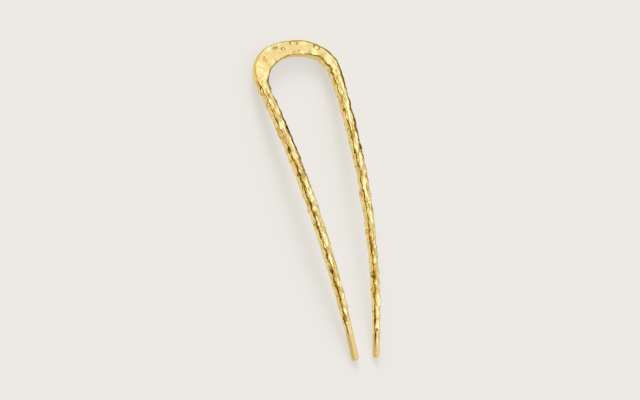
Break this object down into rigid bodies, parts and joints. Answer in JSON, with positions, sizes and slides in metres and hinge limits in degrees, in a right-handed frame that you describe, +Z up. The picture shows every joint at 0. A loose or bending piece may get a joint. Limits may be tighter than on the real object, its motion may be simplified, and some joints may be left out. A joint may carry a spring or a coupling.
{
  "type": "french hair pin",
  "caption": "U-shaped hair pin of hammered, gold-plated brass, broad over the crown, with two tapering prongs and a gentle bow.",
  "frame": {"origin": "centre of the bounding box in X and Y, at the level that the pin rests on", "axes": "+Z up through the outside of the bow, +Y along the pin from the tips to the crown, +X across the two prongs"},
  "size_m": [0.0362, 0.1184, 0.0116],
  "materials": {
    "gold_plate": "polished"
  },
  "bodies": {
    "root": {"hair_pin": "gold_plate"}
  },
  "joints": []
}
